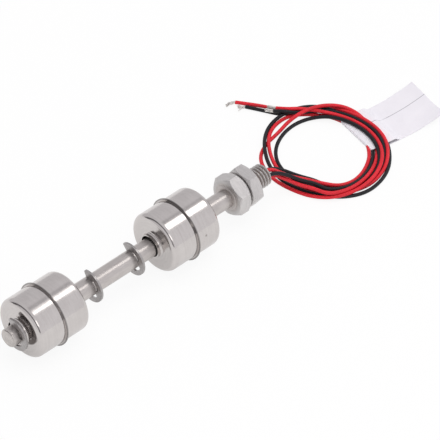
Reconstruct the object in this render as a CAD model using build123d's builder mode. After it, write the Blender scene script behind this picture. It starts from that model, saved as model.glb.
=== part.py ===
from build123d import *
import os
from math import asin, cos, degrees, pi, radians, sin, tan

# Two-float level switch, lying on a floor with its lead wires coiled beyond its threaded end.
# The stem runs along X, closed end at -X and thread at +X, Y is across and Z is up.
# The origin is on the floor under the middle of the switch, lead wires left out. Millimetres.

# Stem: a drawn tube, closed at one end by a welded plug and grooved for three clips
stem_diameter = 8.0
stem_wall = 1.0
plug_head = 1.2
plug_spigot = 6.0
plug_edge_radius = 0.9

# Retaining clips: stamped E-shaped rings that snap into grooves and stop the floats
clip_diameter = 14.6
clip_thickness = 0.9
clip_band = 2.0
clip_prong_angle = 30.0
clip_window_angle = 66.0
clip_window_reach = 0.2
clip_mouth_angle = 104.0
clip_throat = 6.2
clip_tip_radius = 0.7
groove_depth = 0.5
groove_play = 0.1
clip_turns = {"bottom": 13.0, "lower": 13.0, "upper": -5.0}

# Floats: two drawn cups welded at a middle flange, round a bore tube and a ring magnet
float_body_length = 25.4
float_body_diameter = 26.0
float_flange_rim = 1.0
float_lip_length = 1.8
float_bore_play = 0.7
float_sheet = 0.22
float_bore_wall = 0.25
float_corner_radius = 2.2
float_neck_radius = 0.9
stem_drop = 0.5
magnet_diameter = 15.0
magnet_length = 4.0
magnet_clearance = 0.1

# Free lengths along the stem, from the closed end to the hexagonal head
tip_length = 3.5
lower_gap_below = 0.3
lower_gap_above = 9.1
stop_spacing = 21.4
upper_gap_below = 9.1
upper_gap_above = 13.3

# Threaded head and lock nut
across_flats = 16.0
hex_chamfer_angle = 30.0
hex_face_inset = 0.15
head_length = 7.0
head_turn = 33.0
weld_ring_width = 1.6
weld_ring_height = 0.5
stem_socket = 5.0
thread_diameter = 9.85
thread_length = 14.1
thread_chamfer = 0.8
nut_thickness = 5.5
nut_turn = 3.0
nut_gap = 0.25
nut_clearance = 0.08
nut_countersink = 0.6

# Reed switches: sealed glass capsules in insulating sleeves, one within each float's reach
glass_diameter = 2.2
glass_length = 14.0
glass_dome = 0.8
reed_lead_diameter = 0.6
reed_lead_length = 4.0
reed_lead_drop = 2.0
reed_sleeve_wall = 0.2
reed_sleeve_overhang = 1.0
joint_sleeve_wall = 0.1
joint_sleeve_length = 7.0
lower_reed_offset = 4.0
upper_reed_offset = 3.0

# Lead wires: four insulated wires, potted in the thread's bore
wire_diameter = 1.6
wire_clearance = 0.02
potting_length = 7.0
potting_recess = 0.6
tinned_diameter = 1.0

# Lane of each wire along the stem's bore, as (direction in degrees from Y towards Z, gap to the wall).
# The second wires run on their reed capsules' lanes, and the first ones pass beside the capsules.
lane_places = {
    "red_1": (96.0, 0.12),
    "black_1": (166.0, 0.07),
    "red_2": (270.0, 0.18),
    "black_2": (11.0, 0.15),
}

# Coil of spare lead wire beyond the thread, its centre as (along, across) from the thread's end
coil_centre = (36.2, 0.8)
coil_outer_radius = 30.6
coil_inner_radius = 18.0
coil_height = 3.4
coil_edge_radius = 1.2

# Paper label folded round some of the coiled wires, its two leaves stuck together beyond them.
# Its fold is placed as (along, across) from the thread's end.
label_fold = (52.6, -0.2)
label_turn = -9.5
label_width = 23.0
label_leaf = 0.12
label_loop_length = 15.0
label_loop_height = 1.85
label_loop_ramp = 3.0
label_flag_length = 22.5
label_flag_rise = 3.6
label_clearance = 0.06

# Route of each wire from its potting down to the coil, as (along, across, up):
# along is from the thread's end, across is from the stem's axis and up is from the floor
exit_routes = {
    "red_1": [
        (4.6, -0.5, 15.2), (9.6, -1.5, 12.9), (14.4, -4.2, 9.3), (19.0, -8.6, 5.3), (24.0, -14.1, 2.7),
    ],
    "black_1": [
        (4.3, -2.5, 13.6), (9.0, -4.2, 10.9), (13.6, -7.4, 7.4), (18.4, -11.7, 4.3), (23.6, -16.6, 2.6),
    ],
    "red_2": [
        (4.0, -0.4, 11.6), (8.4, -3.2, 8.6), (12.2, -7.8, 5.6), (15.4, -13.0, 3.4), (18.4, -18.6, 2.2),
    ],
    "black_2": [
        (5.0, 1.1, 13.1), (10.5, -0.1, 10.4), (15.9, -3.5, 6.6), (20.8, -8.7, 3.0), (25.5, -14.7, 0.9),
    ],
}

# Route of each wire's tail from the coil to its stripped end, in the same terms
tail_routes = {
    "red_1": [
        (47.4, 26.9, 2.3), (43.7, 29.6, 1.9), (41.1, 33.1, 1.3), (38.6, 38.1, 0.9), (35.3, 43.3, 0.85),
        (31.4, 48.8, 0.9),
    ],
    "black_1": [
        (43.9, 27.2, 1.3), (40.7, 29.7, 1.2), (38.3, 32.8, 0.95), (36.1, 37.2, 0.85), (32.0, 44.4, 0.9),
    ],
    "red_2": [(45.6, 25.3, 2.7), (42.3, 28.4, 3.2), (40.3, 31.2, 3.0), (38.7, 34.6, 2.4)],
    "black_2": [(42.7, 24.8, 2.5), (40.2, 27.6, 3.3), (38.0, 30.6, 3.1), (36.4, 33.4, 2.7)],
}

# Tip of each stripped and tinned end, in the same terms
tinned_tips = {
    "red_1": (26.9, 51.9, 1.4),
    "black_1": (28.3, 46.5, 0.9),
    "red_2": (36.8, 38.2, 1.9),
    "black_2": (34.7, 37.0, 2.2),
}

# Worked out from the sizes above
stem_radius = stem_diameter / 2
stem_bore_radius = stem_radius - stem_wall
groove_radius = stem_radius - groove_depth
clip_radius = clip_diameter / 2
float_length = float_body_length + 2 * float_lip_length
float_bore_radius = stem_radius + float_bore_play
float_tube_radius = float_bore_radius + float_bore_wall
float_flange_radius = float_body_diameter / 2 + float_flange_rim
float_axis_z = float_flange_radius
stem_axis_z = float_axis_z - stem_drop
thread_radius = thread_diameter / 2
wire_radius = wire_diameter / 2
glass_radius = glass_diameter / 2
joint_sleeve_radius = wire_radius + wire_clearance + joint_sleeve_wall
reed_sleeve_radius = glass_radius + wire_clearance + reed_sleeve_wall

bottom_clip_start = tip_length
lower_float_start = bottom_clip_start + clip_thickness + lower_gap_below
lower_clip_start = lower_float_start + float_length + lower_gap_above
upper_clip_start = lower_clip_start + clip_thickness + stop_spacing
upper_float_start = upper_clip_start + clip_thickness + upper_gap_below
stem_length = upper_float_start + float_length + upper_gap_above
overall_length = stem_length + head_length + thread_length

first_x = -overall_length / 2
head_x = first_x + stem_length
shoulder_x = head_x + head_length
thread_end_x = shoulder_x + thread_length
nut_x = shoulder_x + nut_gap
potting_end_x = thread_end_x - potting_recess
potting_start_x = potting_end_x - potting_length
lower_float_x = first_x + lower_float_start + float_length / 2
upper_float_x = first_x + upper_float_start + float_length / 2

wire_lanes = {}
for wire_name, (lane_direction, lane_gap) in lane_places.items():
    sleeve_radius = reed_sleeve_radius if wire_name.endswith("2") else joint_sleeve_radius
    lane_radius = stem_bore_radius - sleeve_radius - lane_gap
    lane_angle = radians(lane_direction)
    wire_lanes[wire_name] = (lane_radius * cos(lane_angle), lane_radius * sin(lane_angle))

stem_axis = Axis((0, 0, stem_axis_z), (1, 0, 0))
float_axis = Axis((0, 0, float_axis_z), (1, 0, 0))

os.makedirs("parts", exist_ok=True)


def save(piece, name):
    """Label a finished piece and write it as the node of that name."""
    piece.label = name
    export_step(piece, f"parts/{name}.step")


def across_stem(x, turn=0):
    """The plane across the stem at x, with its first direction turned from Y towards Z by some degrees."""
    first_direction = (0, cos(radians(turn)), sin(radians(turn)))
    return Plane(origin=(x, 0, stem_axis_z), x_dir=first_direction, z_dir=(1, 0, 0))


# Stem tube: plain bore, three clip grooves turned into its outside
tube_start_x = first_x + plug_head
with BuildPart() as stem_tube:
    with BuildSketch(across_stem(tube_start_x)):
        Circle(stem_radius)
        Circle(stem_bore_radius, mode=Mode.SUBTRACT)
    extrude(amount=head_x + stem_socket - tube_start_x)
    for clip_start in (bottom_clip_start, lower_clip_start, upper_clip_start):
        with BuildSketch(across_stem(first_x + clip_start - groove_play / 2)):
            Circle(stem_diameter)
            Circle(groove_radius, mode=Mode.SUBTRACT)
        extrude(amount=clip_thickness + groove_play, mode=Mode.SUBTRACT)
save(stem_tube.part, "stem_tube")

# End plug: a rounded disc flush with the tube, on a spigot that fills the tube's end
with BuildPart() as stem_end_plug:
    with BuildSketch(across_stem(first_x)):
        Circle(stem_radius)
    extrude(amount=plug_head)
    fillet(stem_end_plug.edges().filter_by(GeomType.CIRCLE).sort_by(Axis.X)[0], plug_edge_radius)
    with BuildSketch(across_stem(tube_start_x)):
        Circle(stem_bore_radius)
    extrude(amount=plug_spigot)
save(stem_end_plug.part, "stem_end_plug")


def retaining_clip(start_x, mouth_direction):
    """One E-shaped clip: a band with three prongs into the groove, its mouth at mouth_direction degrees."""
    band_inside = clip_radius - clip_band
    window_height = band_inside - groove_radius + clip_window_reach
    window_radius = band_inside - window_height / 2
    window_cap = degrees(asin(window_height / 2 / window_radius))
    window_start = clip_prong_angle / 2 + window_cap
    window_sweep = clip_window_angle - 2 * window_cap
    half_throat = clip_throat / 2
    throat_corner = half_throat / tan(radians(clip_mouth_angle / 2))
    mouth_x = clip_diameter * cos(radians(clip_mouth_angle / 2))
    mouth_y = clip_diameter * sin(radians(clip_mouth_angle / 2))
    with BuildPart() as clip:
        with BuildSketch(across_stem(start_x, mouth_direction)) as outline:
            Circle(clip_radius)
            Circle(groove_radius, mode=Mode.SUBTRACT)
            with BuildLine():
                Polyline(
                    (0, half_throat),
                    (throat_corner, half_throat),
                    (mouth_x, mouth_y),
                    (clip_diameter, 0),
                    (mouth_x, -mouth_y),
                    (throat_corner, -half_throat),
                    (0, -half_throat),
                    close=True,
                )
            make_face(mode=Mode.SUBTRACT)
            lug_corners = outline.vertices().filter_by(lambda v: abs(Vector(v).length - clip_radius) < 0.01)
            fillet(lug_corners, clip_tip_radius)
            for start in (180 + window_start, 180 - window_start - window_sweep):
                SlotArc(
                    Edge.make_circle(window_radius, start_angle=start, end_angle=start + window_sweep),
                    window_height,
                    mode=Mode.SUBTRACT,
                )
        extrude(amount=clip_thickness)
    return clip.part


for clip_name, clip_start in (
    ("bottom", bottom_clip_start),
    ("lower", lower_clip_start),
    ("upper", upper_clip_start),
):
    save(retaining_clip(first_x + clip_start, clip_turns[clip_name]), f"retaining_clip_{clip_name}")


def float_cup(middle_x, side):
    """One drawn cup, open at the float's middle: flange, wall, shoulder, end and neck."""
    end_x = middle_x + side * float_body_length / 2
    neck_x = middle_x + side * float_length / 2
    wall_z = float_axis_z + float_body_diameter / 2
    flange_z = float_axis_z + float_flange_radius
    neck_z = float_axis_z + float_tube_radius
    with BuildPart() as cup:
        with BuildSketch(Plane.XZ):
            with BuildLine():
                flange = Polyline(
                    (middle_x, flange_z),
                    (middle_x + side * float_sheet, flange_z),
                    (middle_x + side * float_sheet, wall_z),
                )
                outside = FilletPolyline(
                    flange @ 1,
                    (end_x, wall_z),
                    (end_x, neck_z + float_sheet),
                    (neck_x, neck_z + float_sheet),
                    radius=[float_corner_radius, float_neck_radius],
                )
                lip = Line(outside @ 1, (neck_x, neck_z))
                inside = FilletPolyline(
                    lip @ 1,
                    (end_x - side * float_sheet, neck_z),
                    (end_x - side * float_sheet, wall_z - float_sheet),
                    (middle_x, wall_z - float_sheet),
                    radius=[float_neck_radius + float_sheet, float_corner_radius - float_sheet],
                )
                Line(inside @ 1, flange @ 0)
            make_face()
        revolve(axis=float_axis)
    return cup.part


def float_pieces(name, middle_x):
    """Write one float: two cups, the tube that lines its bore and the magnet round that tube."""
    save(float_cup(middle_x, -1), f"{name}_lower_cup")
    save(float_cup(middle_x, 1), f"{name}_upper_cup")
    with BuildPart() as bore_tube:
        with BuildSketch(Plane.YZ.offset(middle_x - float_length / 2)):
            with Locations((0, float_axis_z)):
                Circle(float_tube_radius)
                Circle(float_bore_radius, mode=Mode.SUBTRACT)
        extrude(amount=float_length)
    save(bore_tube.part, f"{name}_bore_tube")
    with BuildPart() as magnet:
        with BuildSketch(Plane.YZ.offset(middle_x - magnet_length / 2)):
            with Locations((0, float_axis_z)):
                Circle(magnet_diameter / 2)
                Circle(float_tube_radius + magnet_clearance, mode=Mode.SUBTRACT)
        extrude(amount=magnet_length)
    save(magnet.part, f"{name}_magnet")


float_pieces("lower_float", lower_float_x)
float_pieces("upper_float", upper_float_x)


def hexagon_blank(start_x, length, turn):
    """A hexagon across the stem with its corners chamfered at both ends."""
    face_radius = across_flats / 2 - hex_face_inset
    corner_radius = across_flats / 2 / cos(radians(30))
    corner_chamfer = (corner_radius - face_radius) * tan(radians(hex_chamfer_angle))
    with BuildPart() as blank:
        with BuildSketch(across_stem(start_x, turn)):
            RegularPolygon(across_flats / 2, 6, major_radius=False)
        extrude(amount=length)
        with BuildSketch(Plane.XZ):
            with BuildLine():
                Polyline(
                    (start_x, stem_axis_z),
                    (start_x, stem_axis_z + face_radius),
                    (start_x + corner_chamfer, stem_axis_z + corner_radius),
                    (start_x + length - corner_chamfer, stem_axis_z + corner_radius),
                    (start_x + length, stem_axis_z + face_radius),
                    (start_x + length, stem_axis_z),
                    close=True,
                )
            make_face()
        revolve(axis=stem_axis, mode=Mode.INTERSECT)
    return blank.part


def disc(origin, direction, radius, hole_radius=0):
    """A round face, or a ring with a hole, centred on a point and facing a direction."""
    with BuildSketch(Plane(origin=origin, z_dir=direction)) as face:
        Circle(radius)
        if hole_radius:
            Circle(hole_radius, mode=Mode.SUBTRACT)
    return face.sketch


# Threaded head: hexagon, weld ring towards the stem, shank of the thread's outer size, bored for the wires
head_blank = hexagon_blank(head_x, head_length, head_turn)
with BuildPart() as threaded_head:
    add(head_blank)
    with BuildSketch(Plane.XZ):
        with BuildLine():
            ring_inside = Polyline(
                (head_x, stem_axis_z + stem_radius + weld_ring_width),
                (head_x, stem_axis_z + stem_radius),
                (head_x - weld_ring_height, stem_axis_z + stem_radius),
                (head_x - weld_ring_height, stem_axis_z + stem_radius + weld_ring_height),
            )
            TangentArc(ring_inside @ 1, ring_inside @ 0, tangent=(0.3, 1))
        make_face()
    revolve(axis=stem_axis)
    with BuildSketch(across_stem(shoulder_x)):
        Circle(thread_radius)
    extrude(amount=thread_length)
    chamfer(threaded_head.edges().filter_by(GeomType.CIRCLE).sort_by(Axis.X)[-1], thread_chamfer)
    with BuildSketch(across_stem(head_x)):
        Circle(stem_radius)
    extrude(amount=stem_socket, mode=Mode.SUBTRACT)
    with BuildSketch(across_stem(head_x)):
        Circle(stem_bore_radius)
    extrude(amount=head_length + thread_length, mode=Mode.SUBTRACT)
save(threaded_head.part, "threaded_head")

# Lock nut: the same hexagon, run up the thread by hand to just short of the head
nut_blank = hexagon_blank(nut_x, nut_thickness, nut_turn)
with BuildPart() as lock_nut:
    add(nut_blank)
    with BuildSketch(across_stem(nut_x)):
        Circle(thread_radius + nut_clearance)
    extrude(amount=nut_thickness, mode=Mode.SUBTRACT)
    bore_rims = lock_nut.edges().filter_by(
        lambda edge: edge.geom_type == GeomType.CIRCLE and edge.radius < thread_radius + 2 * nut_clearance
    )
    chamfer(bore_rims, nut_countersink)
save(lock_nut.part, "lock_nut")


def in_stem(x, lane):
    """A point inside the stem at x, on one of the wire lanes."""
    return Vector(x, lane[0], stem_axis_z + lane[1])


def reed_switch(name, middle_x, straight_wire, turned_wire):
    """Write one reed switch, wired ahead to one lane and back round its lower end to the other."""
    lane = wire_lanes[straight_wire]
    other_lane = wire_lanes[turned_wire]
    glass_start = in_stem(middle_x - glass_length / 2, lane)
    glass_end = in_stem(middle_x + glass_length / 2, lane)
    turn_start = in_stem(glass_start.X - reed_lead_drop, lane)
    turn_end = in_stem(glass_start.X - reed_lead_drop, other_lane)
    turn_radius = (turn_end - turn_start).length / 2
    turn_bottom = (turn_start + turn_end) / 2 - Vector(turn_radius, 0, 0)
    joint_ahead = in_stem(glass_end.X + reed_lead_length, lane)
    joint_back = turn_end
    with BuildPart() as glass:
        extrude(disc(glass_start, (1, 0, 0), glass_radius), amount=glass_length)
        fillet(glass.edges().filter_by(GeomType.CIRCLE), glass_dome)
    save(glass.part, f"{name}_reed_capsule")
    with BuildPart() as leads:
        extrude(disc(glass_end, (1, 0, 0), reed_lead_diameter / 2), amount=reed_lead_length)
        with BuildLine():
            Line(glass_start, turn_start)
            ThreePointArc(turn_start, turn_bottom, turn_end)
        with BuildSketch(Plane(origin=glass_start, z_dir=(-1, 0, 0))):
            Circle(reed_lead_diameter / 2)
        sweep()
    save(leads.part, f"{name}_reed_leads")
    sleeve_bore = reed_sleeve_radius - reed_sleeve_wall
    sleeve_start = glass_start - Vector(reed_sleeve_overhang, 0, 0)
    with BuildPart() as reed_sleeve:
        extrude(
            disc(sleeve_start, (1, 0, 0), reed_sleeve_radius, sleeve_bore),
            amount=glass_length + 2 * reed_sleeve_overhang,
        )
    save(reed_sleeve.part, f"{name}_reed_sleeve")
    joint_bore = joint_sleeve_radius - joint_sleeve_wall
    with BuildPart() as joint_sleeves:
        for sleeve_start in (joint_ahead - Vector(joint_sleeve_length / 2, 0, 0), joint_back):
            extrude(
                disc(sleeve_start, (1, 0, 0), joint_sleeve_radius, joint_bore),
                amount=joint_sleeve_length,
            )
    save(joint_sleeves.part, f"{name}_joint_sleeves")
    return {straight_wire: joint_ahead.X, turned_wire: joint_back.X}


wire_starts = {}
wire_starts |= reed_switch("lower", lower_float_x + lower_reed_offset, "black_2", "black_1")
wire_starts |= reed_switch("upper", upper_float_x + upper_reed_offset, "red_2", "red_1")

# Inner stretch of each wire, from its reed switch to the face of the potting
for wire_name, wire_lane in wire_lanes.items():
    wire_start = in_stem(wire_starts[wire_name], wire_lane)
    with BuildPart() as inner_wire:
        extrude(disc(wire_start, (1, 0, 0), wire_radius), amount=potting_end_x - wire_start.X)
    save(inner_wire.part, f"inner_wire_{wire_name}")

# Potting: resin that seals the thread's bore round the four wires
with BuildPart() as potting:
    with BuildSketch(across_stem(potting_start_x)):
        Circle(stem_bore_radius)
        with Locations(*wire_lanes.values()):
            Circle(wire_radius + wire_clearance, mode=Mode.SUBTRACT)
    extrude(amount=potting_length)
save(potting.part, "potting")


def outside_point(along, across, up):
    """A point of the free wires, placed from the thread's end, the stem's axis and the floor."""
    return Vector(thread_end_x + along, across, up)


def wire_tube(name, points):
    """A round tube along straight runs joined by arcs as large as the runs allow."""
    bends = []
    for before, here, after in zip(points, points[1:], points[2:]):
        turn = (here - before).get_angle(after - here)
        shorter_run = min((here - before).length, (after - here).length)
        bends.append(0.45 * shorter_run / tan(radians(turn / 2)))
    with BuildPart() as tube:
        with BuildLine() as path:
            FilletPolyline(*points, radius=bends)
        with BuildSketch(Plane(origin=points[0], z_dir=points[1] - points[0])):
            Circle(wire_radius)
        sweep()
    expected_volume = pi * wire_radius**2 * path.wire().length
    print(name, "bend radii", [round(bend, 1) for bend in bends], "length", round(path.wire().length, 1),
          "volume", round(tube.part.volume, 2), "expected", round(expected_volume, 2))
    return tube.part


# Free stretches of each wire: down to the coil, and from the coil to its stripped and tinned end
for wire_name, wire_lane in wire_lanes.items():
    exit_points = [in_stem(potting_end_x, wire_lane)] + [outside_point(*p) for p in exit_routes[wire_name]]
    save(wire_tube(f"{wire_name} exit", exit_points), f"wire_exit_{wire_name}")
    tail_points = [outside_point(*p) for p in tail_routes[wire_name]]
    save(wire_tube(f"{wire_name} tail", tail_points), f"wire_tail_{wire_name}")
    tinned_run = outside_point(*tinned_tips[wire_name]) - tail_points[-1]
    with BuildPart() as tinned_end:
        extrude(disc(tail_points[-1], tinned_run, tinned_diameter / 2), amount=tinned_run.length)
    save(tinned_end.part, f"tinned_end_{wire_name}")

# Label: a paper strip folded round the lower wires, rising a little at its free end
label_direction = Vector(cos(radians(label_turn)), sin(radians(label_turn)), 0)
label_plane = Plane(
    origin=(thread_end_x + label_fold[0], label_fold[1], 0),
    x_dir=label_direction,
    z_dir=(label_direction.Y, -label_direction.X, 0),
)
fold_radius = 0.4 * label_loop_height
flag_end = label_loop_length + label_flag_length
flag_thickness = 2 * label_leaf
ramp_top = label_loop_length - label_loop_ramp


def label_section(margin):
    """The label seen along its fold, grown by a margin all round."""
    with BuildSketch(label_plane) as section:
        with BuildLine():
            underside = TangentArc((label_loop_length, 0), (flag_end, label_flag_rise), tangent=(1, 0))
            Line(underside @ 1, (flag_end, label_flag_rise + flag_thickness))
            top = TangentArc(
                (label_loop_length, flag_thickness),
                (flag_end, label_flag_rise + flag_thickness),
                tangent=(1, 0),
            )
            FilletPolyline(
                top @ 0,
                (ramp_top, label_loop_height),
                (0, label_loop_height),
                (0, 0),
                underside @ 0,
                radius=[0, fold_radius, fold_radius],
            )
        make_face()
        with BuildLine():
            FilletPolyline(
                (label_loop_length, label_leaf),
                (ramp_top, label_loop_height - label_leaf),
                (label_leaf, label_loop_height - label_leaf),
                (label_leaf, label_leaf),
                radius=[0, 0, fold_radius - label_leaf, fold_radius - label_leaf],
                close=True,
            )
        make_face(mode=Mode.SUBTRACT)
        if margin:
            offset(amount=margin)
    return section.sketch


with BuildPart() as wire_label:
    extrude(label_section(0), amount=label_width / 2, both=True)
save(wire_label.part, "wire_label")

# Coil: the outer shape of the wires' loose turns, with a slot that the label passes through
coil_x = thread_end_x + coil_centre[0]
coil_axis = Axis((coil_x, coil_centre[1], 0), (0, 0, 1))
with BuildPart() as wire_coil:
    with BuildSketch(Plane.XZ.offset(-coil_centre[1])):
        with Locations((coil_x + (coil_inner_radius + coil_outer_radius) / 2, coil_height / 2)):
            coil_face = Rectangle(coil_outer_radius - coil_inner_radius, coil_height)
        fillet(coil_face.vertices().group_by(Axis.Z)[-1], coil_edge_radius)
    revolve(axis=coil_axis)
    extrude(
        label_section(label_clearance),
        amount=label_width / 2 + label_clearance,
        both=True,
        mode=Mode.SUBTRACT,
    )
save(wire_coil.part, "wire_coil")
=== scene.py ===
"""Looks of a two-float level switch, its coiled lead wires and its paper label."""

import logging
from dataclasses import dataclass, field
from enum import Enum
from math import cos, pi, radians, sin, tan
from typing import Sequence, Union

import bpy
import numpy as np
from mathutils import Matrix, Vector


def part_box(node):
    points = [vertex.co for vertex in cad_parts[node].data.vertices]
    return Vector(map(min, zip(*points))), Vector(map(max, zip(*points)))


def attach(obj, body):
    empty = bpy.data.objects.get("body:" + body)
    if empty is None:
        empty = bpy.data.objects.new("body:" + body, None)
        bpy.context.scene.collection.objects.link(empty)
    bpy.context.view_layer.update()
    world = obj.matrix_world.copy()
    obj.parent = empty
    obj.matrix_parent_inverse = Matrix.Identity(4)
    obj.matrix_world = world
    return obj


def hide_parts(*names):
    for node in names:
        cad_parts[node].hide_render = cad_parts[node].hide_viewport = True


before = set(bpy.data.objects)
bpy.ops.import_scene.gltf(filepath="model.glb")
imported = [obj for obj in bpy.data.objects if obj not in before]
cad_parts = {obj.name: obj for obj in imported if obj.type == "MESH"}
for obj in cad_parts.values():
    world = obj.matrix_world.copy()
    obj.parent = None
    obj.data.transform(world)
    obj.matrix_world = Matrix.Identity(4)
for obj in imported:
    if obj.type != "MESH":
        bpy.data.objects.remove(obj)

MM = 0.001
WHITE = (1.0, 1.0, 1.0)
LABEL_FOLD = (53.3, 0.5)
LABEL_TURN = -9.5
Colour = tuple[float, float, float]
Point = tuple[float, float, float]
Array = np.ndarray
Socket = bpy.types.NodeSocket
Piece = bpy.types.Object
Material = bpy.types.Material
Amount = Union["Value", float]
Places = tuple["Value", "Value", "Value"]
Paint = Union[Colour, Socket]
log = logging.getLogger("float_switch")
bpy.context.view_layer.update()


class Value:
    """A number that varies over a surface, written with the usual operators."""

    def __init__(self, shader: "Shader", socket: Socket) -> None:
        """Wrap one output socket of a shader's tree."""
        self.shader = shader
        self.socket = socket

    def _math(self, operation: str, first: Amount, second: Amount) -> "Value":
        """The result of one Math node, by Blender's name of its operation."""
        made = self.shader.node("ShaderNodeMath", {"operation": operation}, {0: first, 1: second})
        return Value(self.shader, made.outputs[0])

    def __add__(self, other: Amount) -> "Value":
        """Sum."""
        return self._math("ADD", self, other)

    def __sub__(self, other: Amount) -> "Value":
        """Difference."""
        return self._math("SUBTRACT", self, other)

    def __rsub__(self, other: Amount) -> "Value":
        """Difference from a plain number."""
        return self._math("SUBTRACT", other, self)

    def __mul__(self, other: Amount) -> "Value":
        """Product."""
        return self._math("MULTIPLY", self, other)

    def __pow__(self, other: Amount) -> "Value":
        """Power."""
        return self._math("POWER", self, other)

    __radd__ = __add__
    __rmul__ = __mul__

    def larger(self, other: Amount) -> "Value":
        """The larger of this and another value."""
        return self._math("MAXIMUM", self, other)

    def size(self) -> "Value":
        """The value without its sign."""
        return self._math("ABSOLUTE", self, 0.0)

    def between(self, low: float, high: float) -> "Value":
        """Smooth step from 0 at low to 1 at high."""
        settings = {"interpolation_type": "SMOOTHSTEP"}
        made = self.shader.node("ShaderNodeMapRange", settings, {"Value": self, "From Min": low, "From Max": high})
        return Value(self.shader, made.outputs[0])

    def band(self, start: float, full: float, fading: float, end: float) -> "Value":
        """1 from full to fading, easing to 0 at start and at end."""
        return self.between(start, full) * (1.0 - self.between(fading, end))


class Shader:
    """One node material or world while it is being put together."""

    def __init__(self, owner: bpy.types.ID) -> None:
        """Empty the tree of a material or world."""
        owner.use_nodes = True
        self.tree = owner.node_tree
        self.tree.nodes.clear()

    def node(self, kind: str, settings: dict | None = None, given: dict | None = None) -> bpy.types.Node:
        """Add a node.

        Args:
            kind: the node's type.
            settings: its properties, set before its sockets.
            given: numbers, colours, sockets or values for its inputs, by name or index.

        Returns:
            The new node.
        """
        made = self.tree.nodes.new(kind)
        for name, setting in (settings or {}).items():
            setattr(made, name, setting)
        for name, value in (given or {}).items():
            if isinstance(value, Value):
                value = value.socket
            if isinstance(value, Socket):
                self.tree.links.new(value, made.inputs[name])
            else:
                made.inputs[name].default_value = value
        return made

    def split(self, coordinates: str) -> Places:
        """Along, across and up: the three parts of one kind of texture coordinates."""
        coords = self.node("ShaderNodeTexCoord")
        parts = self.node("ShaderNodeSeparateXYZ", given={0: coords.outputs[coordinates]})
        return tuple(Value(self, parts.outputs[i]) for i in range(3))

    def noise(self, place: Sequence[Amount], scale: float, detail: float = 3.0, rough: float = 0.55) -> Value:
        """Smooth noise from 0 to 1.

        Args:
            place: three values or numbers that the noise is read at.
            scale: features per metre.
            detail: octaves.
            rough: weight of the finer octaves.

        Returns:
            The noise.
        """
        vector = self.node("ShaderNodeCombineXYZ", given=dict(enumerate(place)))
        given = {"Vector": vector.outputs[0], "Scale": scale, "Detail": detail, "Roughness": rough}
        return Value(self, self.node("ShaderNodeTexNoise", given=given).outputs["Fac"])

    def blend(self, factor: Value, low: Paint, high: Paint) -> Socket:
        """A colour between two, by a value from 0 to 1."""
        factor_input, low_input, high_input, result = 0, 6, 7, 2
        given = {factor_input: factor, low_input: rgba(low), high_input: rgba(high)}
        return self.node("ShaderNodeMix", {"data_type": "RGBA"}, given).outputs[result]

    def bump(self, height: Value, depth: float, under: Socket | None = None) -> Socket:
        """A normal tipped by a height.

        Args:
            height: from 0 to 1.
            depth: metres that a height of 1 stands for.
            under: a normal that this one lies over.

        Returns:
            The normal.
        """
        given = {"Height": height, "Distance": depth, "Strength": 1.0}
        if under is not None:
            given["Normal"] = under
        return self.node("ShaderNodeBump", given=given).outputs[0]

    def ray(self, kind: str) -> Value:
        """1 for one kind of ray and 0 for the rest."""
        return Value(self, self.node("ShaderNodeLightPath").outputs[f"Is {kind} Ray"])

    def light(self, kind: str, colour: Colour, strength: float = 1.0) -> Socket:
        """A shader that only gives light, Background or Emission."""
        return self.node(f"ShaderNode{kind}", given={0: rgba(colour), 1: strength}).outputs[0]

    def mix(self, factor: Value, first: Socket, second: Socket) -> Socket:
        """The first shader where the factor is 0, and the second where it is 1."""
        return self.node("ShaderNodeMixShader", given={0: factor, 1: first, 2: second}).outputs[0]


def rgba(colour: Paint) -> tuple | Socket:
    """A colour with full cover, or the socket that was given."""
    return (*colour, 1.0) if isinstance(colour, tuple) else colour


def turned(first: Amount, second: Amount, degrees: float) -> tuple[Amount, Amount]:
    """Two parts of a place, numbers, arrays or values, read along axes turned by some degrees."""
    cos_turn, sin_turn = cos(radians(degrees)), sin(radians(degrees))
    return first * cos_turn + second * sin_turn, second * cos_turn - first * sin_turn


class Grain(Enum):
    """How a steel surface was made, which sets the run of its fine lines."""

    TURNED = "rings about the stem's axis"
    DRAWN = "lines along the stem"
    STAMPED = "no lines"


@dataclass(frozen=True)
class Finish:
    """A node material with a light and a dark colour."""

    name: str
    light: Colour
    dark: Colour

    def inputs(self, shader: Shader, places: Places) -> dict:
        """What feeds the surface shader.

        Args:
            shader: the material's shader.
            places: along, across and up in the object's own frame, in metres.

        Returns:
            The surface shader's inputs by name.
        """
        raise NotImplementedError

    def toned(self, shader: Shader, tone: Value) -> Socket:
        """The colour for a tone, which is noise that lies mostly near its middle."""
        return shader.blend(tone.between(0.3, 0.7), self.dark, self.light)

    def make(self) -> Material:
        """Build the material."""
        material = bpy.data.materials.new(self.name)
        shader = Shader(material)
        surface = shader.node("ShaderNodeBsdfPrincipled", given=self.inputs(shader, shader.split("Object")))
        shader.node("ShaderNodeOutputMaterial", given={0: surface.outputs[0]})
        return material


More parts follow.
